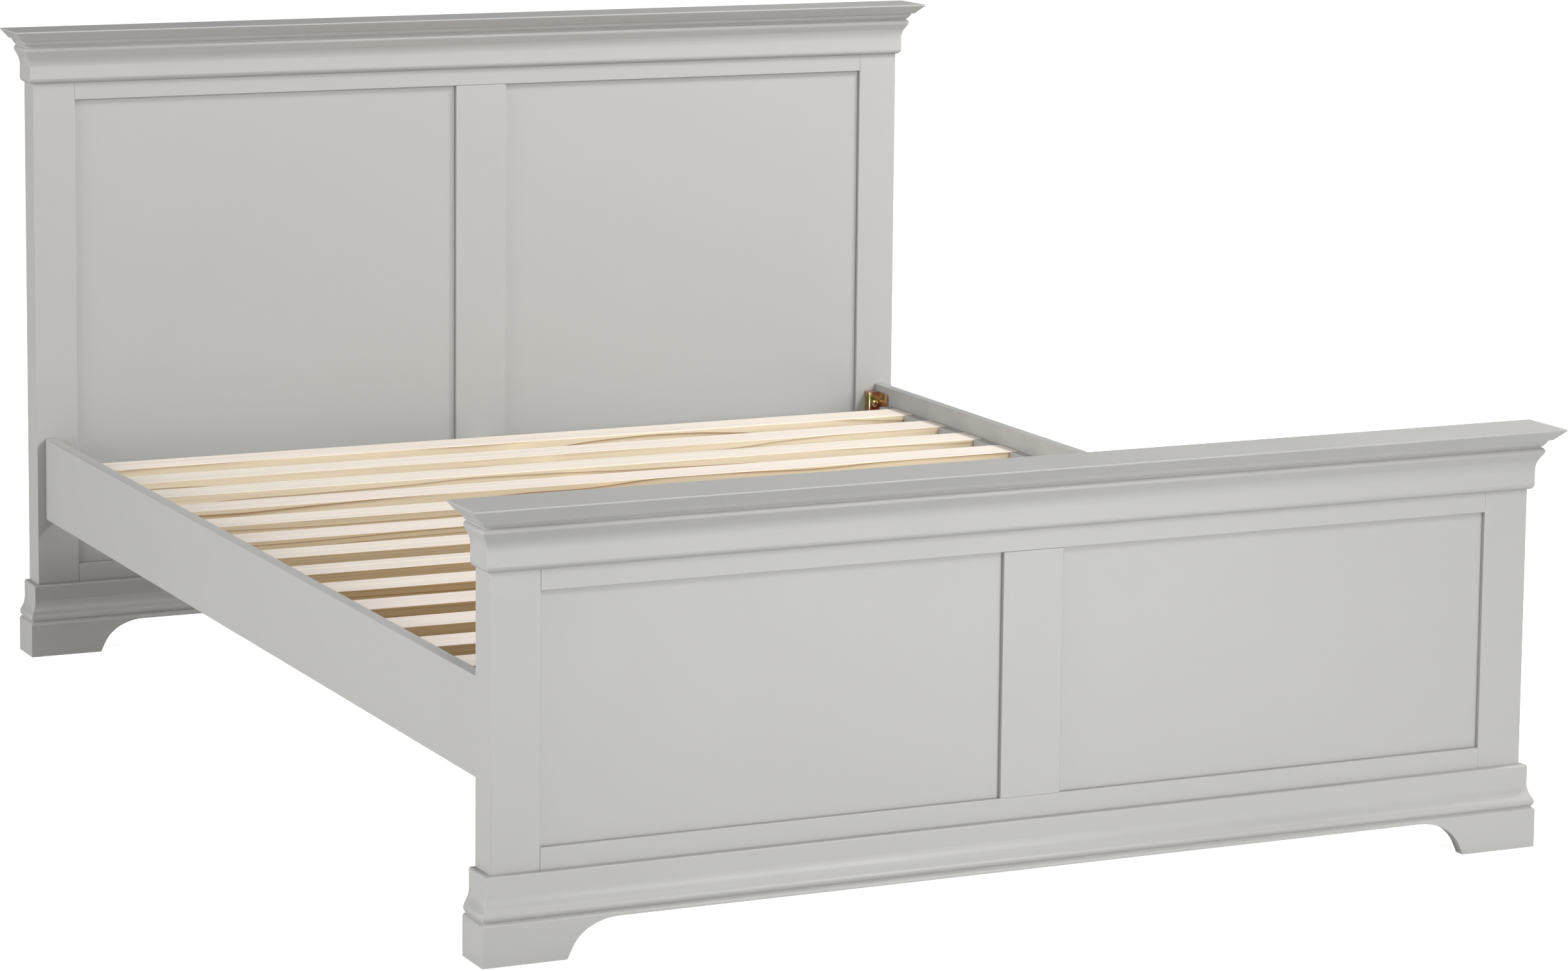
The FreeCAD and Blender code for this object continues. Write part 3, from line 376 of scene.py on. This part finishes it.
cells = add_node(pine_grain, "TexVoronoi", {
    "Vector": spot_in_board(pine_grain, times(pine_grain, along, 4.0),
                            plus(pine_grain, times(pine_grain, across, 11.0), seed),
                            times(pine_grain, deep, 11.0)),
    "Scale": 1.0, "Randomness": 0.9}).outputs
chance = add_node(pine_grain, "SeparateColor", {"Color": cells["Color"]}).outputs["Red"]
chosen = map_range(pine_grain, chance, *RARE_CELL, 0.0, 1.0)
near_knot = map_range(pine_grain, cells["Distance"], *KNOT_BEND, 0.0, 1.0)
heart = map_range(pine_grain, cells["Distance"], *KNOT_RIM, 0.0, 1.0)
pine_grain.links.new(times(pine_grain, heart, chosen), made["Knot"])

push = times(pine_grain, times(pine_grain, near_knot, chosen), KNOT_PUSH)
bent = plus(pine_grain, plus(pine_grain, radius, sway), push)
rings = compute(pine_grain, "DIVIDE", bent, given["Ring Width"])
year = compute(pine_grain, "FRACT", rings)
rise = map_range(pine_grain, year, *LATE_RISE, 0.0, 1.0)
drop = map_range(pine_grain, year, *WINTER_DROP, 1.0, 0.0)
late = times(pine_grain, compute(pine_grain, "POWER", rise, 2.2), drop)
whole_ring = compute(pine_grain, "FLOOR", rings)
strong_year = add_node(pine_grain, "TexWhiteNoise", {"W": plus(pine_grain, whole_ring, seed)},
                       noise_dimensions="1D").outputs["Value"]
weight = map_range(pine_grain, strong_year, 0.0, 1.0, WEAKEST_YEAR, 1.0)
pine_grain.links.new(times(pine_grain, late, weight), made["Late Wood"])
print("a ring's late wood starts at", LATE_RISE[0], "of the year and ends at", WINTER_DROP[1])

# %% [markdown]
# Three noises finish the board: fibres as fine as hair, broader streaks, and one
# tint for the whole length.

# %% Fibres, streaks and tint
fibre = noise_in_board(pine_grain, times(pine_grain, along, 14.0),
                       times(pine_grain, across, 900.0), times(pine_grain, deep, 900.0),
                       seed, 3.0)
streak = noise_in_board(pine_grain, times(pine_grain, along, 1.3),
                        times(pine_grain, across, 130.0), times(pine_grain, deep, 130.0),
                        times(pine_grain, seed, 0.7), 3.0)
board_tint = noise_in_board(pine_grain, times(pine_grain, along, 0.4), 3.0, 3.0,
                            times(pine_grain, seed, 1.9), 0.0)
for label, value in (("Fibre", fibre), ("Streak", streak), ("Tint", board_tint)):
    pine_grain.links.new(value, made[label])
print("group", pine_grain.name, "ended with", len(pine_grain.nodes), "nodes")

# %% [markdown]
# The wide faces of a slat are planed and look almost white with a breath of pink, and their
# rings are kept faint, a painted sheen for the light they catch. Its narrow faces are left as
# sawn: they are yellower, and their late wood shows darker. Which face a point lies on is read
# from the mesh normal. The sawn faces of the slats toward the foot are painted browner, a
# painted shade for the shadow of the footboard.

# %% Pine finishes
CREAM, PINK = (0.778, 0.708, 0.620), (0.770, 0.690, 0.622)
# The second sawn colour is painted shade, for the slats toward the foot.
SAWN, FOOT_SHADE_BROWN = (0.690, 0.585, 0.415), (0.480, 0.320, 0.160)
RESIN, KNOT = (0.250, 0.115, 0.030, 1), (0.250, 0.120, 0.045, 1)
RING_WIDTH = 0.0040


def clear_pine(name, along, across, deep, board_width, shadiest_board=-2.0, least_shaded_board=-1.0):
    """Bare pine along, across and deep in the named axes; painted shade
    browns its sawn faces, most at one board of the row and least at another."""
    material, tree, shader, place = new_finish(name)
    axes = add_node(tree, "SeparateXYZ", {"Vector": place}).outputs
    facing = tree.nodes.new("ShaderNodeNewGeometry").outputs["True Normal"]
    planed_axis = add_node(tree, "SeparateXYZ", {"Vector": facing}).outputs[deep]
    planed = map_range(tree, compute(tree, "ABSOLUTE", planed_axis), 0.4, 0.9, 0.0, 1.0)
    board = compute(tree, "FLOOR", compute(tree, "DIVIDE", axes[across], board_width))
    grain = use_group(tree, pine_grain, Along=axes[along], Across=axes[across], Deep=axes[deep],
                      Board=board, Ring_Width=RING_WIDTH, Waviness=0.22).outputs
    top = ramp(tree, grain["Tint"], [(0.38, CREAM), (0.62, PINK)])
    # Painted shade: sawn faces brown board by board toward the foot, as under the footboard's
    # shadow.
    sawn_and_shade = ramp(tree, map_range(tree, board, shadiest_board, least_shaded_board, 0.0, 1.0),
                [(0.0, FOOT_SHADE_BROWN), (1.0, SAWN)])
    bare = blend(tree, planed, sawn_and_shade, top)
    # Painted sheen: late wood shows only faintly on the planed faces, strongly on the sawn ones.
    sheen_faded_rings = map_range(tree, planed, 0.0, 1.0, 0.95, 0.24)
    ringed = blend(tree, times(tree, grain["Late Wood"], sheen_faded_rings), bare, RESIN)
    knotted = blend(tree, times(tree, grain["Knot"], 0.75), ringed, KNOT)
    fine = map_range(tree, grain["Fibre"], 0.3, 0.7, 0.96, 1.03)
    broad = map_range(tree, grain["Streak"], 0.35, 0.6, 0.90, 1.02)
    shaded = add_node(tree, "VectorMath", {0: knotted, "Scale": times(tree, fine, broad)},
                      operation="SCALE").outputs["Vector"]
    roughness = map_range(tree, grain["Late Wood"], 0.0, 1.0, 0.62, 0.48)
    height = plus(tree, times(tree, grain["Fibre"], 0.6), times(tree, grain["Late Wood"], 0.5))
    lead_in(tree, shader, shaded, roughness, height, strength=0.3, depth=0.0003)
    return material


SLAT_PITCH, ONE_BOARD = 0.1355, 1.0
# The slats at the foot end get the most painted shade.
slat_pine = clear_pine("slat_pine", "X", "Y", "Z", SLAT_PITCH, shadiest_board=-2.0, least_shaded_board=4.0)
rail_pine = clear_pine("rail_pine", "Y", "X", "Z", ONE_BOARD)
leg_pine = clear_pine("leg_pine", "Z", "X", "Y", ONE_BOARD)
print("pines", slat_pine.name, rail_pine.name, leg_pine.name)

# %% [markdown]
# ## Plated steel
# The corner brackets are steel with a yellow passivated zinc plate. The film is
# so thin that it shows as drifting olive, gold and rose, so its colour is a slow
# noise through a ramp of those tones over a metal shader.

# %% Yellow plated steel and plain zinc
plating, given, made = new_group(
    "plating",
    [("Place", "Vector", None), ("Cloud Size", "Float", 60.0), ("Polish", "Float", 0.3)],
    [("Cloud", "Float"), ("Roughness", "Float"), ("Height", "Float")])
cloud = add_node(plating, "TexNoise", {"Vector": given["Place"], "Scale": given["Cloud Size"],
                                       "Detail": 2.0, "Distortion": 0.6})
plating.links.new(cloud.outputs["Fac"], made["Cloud"])
scuffs = noise(plating, given["Place"], 700.0, 4.0)
plating.links.new(plus(plating, given["Polish"],
                       map_range(plating, scuffs, 0.3, 0.7, -0.06, 0.08)),
                  made["Roughness"])
plating.links.new(scuffs, made["Height"])

OLIVE, GOLD = (0.36, 0.34, 0.10), (0.72, 0.58, 0.28)
ROSE, COPPER = (0.60, 0.36, 0.30), (0.44, 0.20, 0.12)
ZINC_DARK, ZINC_LIGHT = (0.55, 0.56, 0.57), (0.72, 0.73, 0.74)
RUBBED_BRIGHT = (0.86, 0.82, 0.72, 1)


def plated_metal(name, stops, cloud_size, polish):
    """Steel under a thin plate, its colour drifting through the stops."""
    material, tree, shader, place = new_finish(name)
    film = use_group(tree, plating, Place=place, Cloud_Size=cloud_size, Polish=polish).outputs
    edges = use_group(tree, worn_edges, Reach=0.0006, Patchiness=0.5, Place=place)
    colour = ramp(tree, film["Cloud"], stops)
    bright = blend(tree, times(tree, edges.outputs["Mask"], 0.6), colour, RUBBED_BRIGHT)
    lead_in(tree, shader, bright, film["Roughness"], film["Height"], strength=0.2, depth=0.0001)
    shader.inputs["Metallic"].default_value = 1
    return material


yellow_steel = plated_metal(
    "yellow_steel",
    [(0.30, OLIVE), (0.40, GOLD), (0.46, ROSE), (0.54, COPPER), (0.64, ROSE), (0.72, OLIVE)],
    42.0, 0.30)
yellow_fastener = plated_metal(
    "yellow_fastener", [(0.35, OLIVE), (0.5, GOLD), (0.65, COPPER)], 120.0, 0.26)
zinc_steel = plated_metal(
    "zinc_steel", [(0.35, ZINC_DARK), (0.65, ZINC_LIGHT)], 90.0, 0.32)
print("metals", yellow_steel.name, yellow_fastener.name, zinc_steel.name)

# %% [markdown]
# The glide under the leg is a moulded plastic foot: dark, slightly grained, and
# scuffed a little lighter on its rim.

# %% Glide plastic
DARK_PLASTIC, SCUFFED_PLASTIC = (0.022, 0.022, 0.023), (0.075, 0.075, 0.075)
glide_plastic, tree, shader, place = new_finish("glide_plastic")
edges = use_group(tree, worn_edges, Reach=0.0012, Patchiness=0.6, Place=place)
scuffed = ramp(tree, edges.outputs["Mask"], [(0.0, DARK_PLASTIC), (1.0, SCUFFED_PLASTIC)])
skin = noise(tree, place, 1500.0, 3.0)
lead_in(tree, shader, scuffed, map_range(tree, skin, 0.3, 0.7, 0.42, 0.58), skin,
        strength=0.3, depth=0.0001)
print("plastic", glide_plastic.name)

# %% [markdown]
# ## Dress the pieces
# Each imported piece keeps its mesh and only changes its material. The direction
# of grain follows how the board was cut: posts, mullions and panels stand, the
# mouldings and cross rails lie across the bed, the side rails run along it.

# %% Give every piece its finish
UPRIGHT_WORDS = ("post", "mullion", "panel")


def finish_for(node):
    """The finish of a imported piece, by its name."""
    if node.startswith("slat_"):
        return slat_pine
    if node.endswith(("_ledger", "_side_rail")):
        return rail_paint
    if node.endswith(("_cornice_left", "_cornice_right", "_moulding_left", "_moulding_right",
                      "_plinth_left", "_plinth_right")):
        return return_paint
    if node.endswith(("_cap", "_cornice_front", "_moulding_front", "_plinth_front")):
        return moulding_paint
    if node.startswith(("headboard_", "footboard_")):
        return upright_paint if node.endswith(UPRIGHT_WORDS) else level_paint
    return {"centre_rail": rail_pine, "centre_leg": leg_pine, "leg_glide": glide_plastic,
            "corner_brackets": yellow_steel, "centre_rail_hangers": yellow_steel,
            "bracket_bolts": yellow_fastener, "wood_screws": yellow_fastener,
            "threaded_inserts": zinc_steel}[node]


for name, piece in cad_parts.items():
    piece.data.materials.clear()
    piece.data.materials.append(finish_for(name))
print(len(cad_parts), "pieces dressed")

# %% [markdown]
# No edge of a real board is perfectly sharp. Sanding takes the arris off each
# piece before it is joined, so an edge catches a thin line of light, and two
# boards that meet flush still show a hairline between them. A weld joins the
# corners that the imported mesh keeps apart, and a small bevel rounds each edge.

# %% Round every arris
SANDED, CAP_LIP, FILED, DRAWN = 0.0006, 0.0009, 0.00015, 0.0001
SAME_POINT = 1e-6
SHARP_FROM = math.radians(40)


def round_arris(piece, width):
    """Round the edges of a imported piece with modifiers, its mesh untouched."""
    weld = piece.modifiers.new("joined_corners", "WELD")
    weld.merge_threshold = SAME_POINT
    arris = piece.modifiers.new("soft_arris", "BEVEL")
    arris.width = width
    arris.segments = 2
    arris.limit_method = "ANGLE"
    arris.angle_limit = SHARP_FROM
    arris.harden_normals = True


METAL_WIDTHS = {"corner_brackets": FILED, "centre_rail_hangers": FILED,
                "bracket_bolts": DRAWN, "wood_screws": DRAWN}
for name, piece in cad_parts.items():
    if name.endswith("_cap"):
        round_arris(piece, CAP_LIP)
    elif name not in ("threaded_inserts", "leg_glide"):
        round_arris(piece, METAL_WIDTHS.get(name, SANDED))
print("arrises rounded")

# %% [markdown]
# ## Studio
# The floor is a plain pale sheet that runs far behind the bed. A photographer
# keeps such a sheet white with lamps of its own, and lays dark flags on it near
# the subject, or it would light every piece from below. Here the floor glows
# where the camera sees it, and gives less light back to the bed.

# %% Pale floor
FLOOR_SIDE = 90
FLOOR_GREY, FLOOR_GLOW = 0.60, 0.78

bpy.ops.mesh.primitive_plane_add(size=FLOOR_SIDE, location=(0, 0, 0))
floor = bpy.context.object
floor.name = "studio_floor"
pale_floor, tree, shader, place = new_finish("pale_floor")
seen = tree.nodes.new("ShaderNodeLightPath").outputs["Is Camera Ray"]
tone = noise(tree, place, 0.6, 2.0)
shade = plus(tree, FLOOR_GREY, map_range(tree, tone, 0.3, 0.7, -0.005, 0.005))
glow = map_range(tree, seen, 0.0, 1.0, 0.0, FLOOR_GLOW)
fill(tree, shader, {"Base Color": shade, "Emission Color": glow, "Emission Strength": 1,
                    "Roughness": 0.9, "Specular IOR Level": 0.1})
floor.data.materials.append(pale_floor)
print("floor", floor.name, FLOOR_SIDE, "m wide")

# %% [markdown]
# Two kinds of lamp light the bed. Far ones are so distant that they wash every
# piece alike: from the left, from high and from low in front, and from behind.
# The low one comes in just over the footboard, so it reaches the headboard but
# leaves the sawn faces of the near slats in shade. The two from behind are kept
# out of reflections, or they would lie on the caps as a white glare.

# %% Even light from all round
ROOM_LIGHT, SEEN_WHITE = 0.04, 1.0

room = bpy.data.worlds.new("white_room")
room.use_nodes = True
sky = room.node_tree
camera_ray = sky.nodes.new("ShaderNodeLightPath").outputs["Is Camera Ray"]
brightness = map_range(sky, camera_ray, 0.0, 1.0, ROOM_LIGHT, SEEN_WHITE)
fill(sky, sky.nodes["Background"], {"Strength": brightness, "Color": (1, 1, 1, 1)})
bpy.context.scene.world = room


def far_light(name, toward, strength, spread, glossy=True):
    """A lamp so far away that it lights every piece alike; spread is in degrees."""
    light = bpy.data.lights.new(name, "SUN")
    light.energy = strength * math.pi
    light.angle = math.radians(spread)
    lamp = bpy.data.objects.new(name, light)
    bpy.context.scene.collection.objects.link(lamp)
    lamp.rotation_euler = Vector(toward).to_track_quat("Z", "Y").to_euler()
    lamp.visible_glossy = glossy


far_light("left_wash", (-1.0, 0.15, 0.25), 0.82, 50)
far_light("front_wash", (0.2, -1.0, 0.8), 0.13, 60)
far_light("low_wash", (0.35, -1.0, 0.2), 0.36, 16)
far_light("behind_wash", (0.45, 1.0, 0.5), 0.21, 60, glossy=False)
far_light("back_wash", (0.15, 1.0, 0.11), 0.50, 8, glossy=False)

# %% [markdown]
# Six soft boxes near the bed do the shaping. One stands high at the right between
# the boards: it whitens the slats and draws the narrow shadow beside each upright
# of the headboard. One hangs high in front of the footboard for its ledges and
# cap, and two small ones low in front draw the shadows in its panels. A white
# card on the floor lifts the undersides of its mouldings, and a wall of light at
# the left brings out the side rail.

# %% Soft boxes


def soft_box(name, place, aim, size, watts):
    """A soft box, wide and tall in metres, that faces a point."""
    light = bpy.data.lights.new(name, "AREA")
    light.shape = "RECTANGLE"
    light.size, light.size_y = size
    light.energy = watts
    box = bpy.data.objects.new(name, light)
    bpy.context.scene.collection.objects.link(box)
    box.location = place
    box.rotation_euler = (Vector(aim) - Vector(place)).to_track_quat("-Z", "Y").to_euler()
    box.visible_camera = False


soft_box("high_right", (2.6, -0.7, 3.6), (0.0, 1.0, 0.7), (1.0, 1.0), 158)
soft_box("front_top", (0.3, -2.9, 2.9), (0.0, -1.0, 0.4), (2.4, 1.2), 48)
soft_box("low_front", (0.9, -3.5, 0.5), (0.3, -1.0, 0.35), (0.8, 0.6), 2)
soft_box("near_left_corner", (-1.63, -2.2, 0.4), (-0.4, -1.0, 0.35), (0.45, 0.45), 1.0)
soft_box("white_card", (0.1, -2.3, 0.05), (0.1, -1.0, 0.45), (2.0, 0.8), 12)
soft_box("left_wall", (-3.8, -0.3, 0.9), (-0.8, 0.1, 0.4), (1.6, 1.2), 42)
bpy.context.scene.view_settings.view_transform = "Standard"
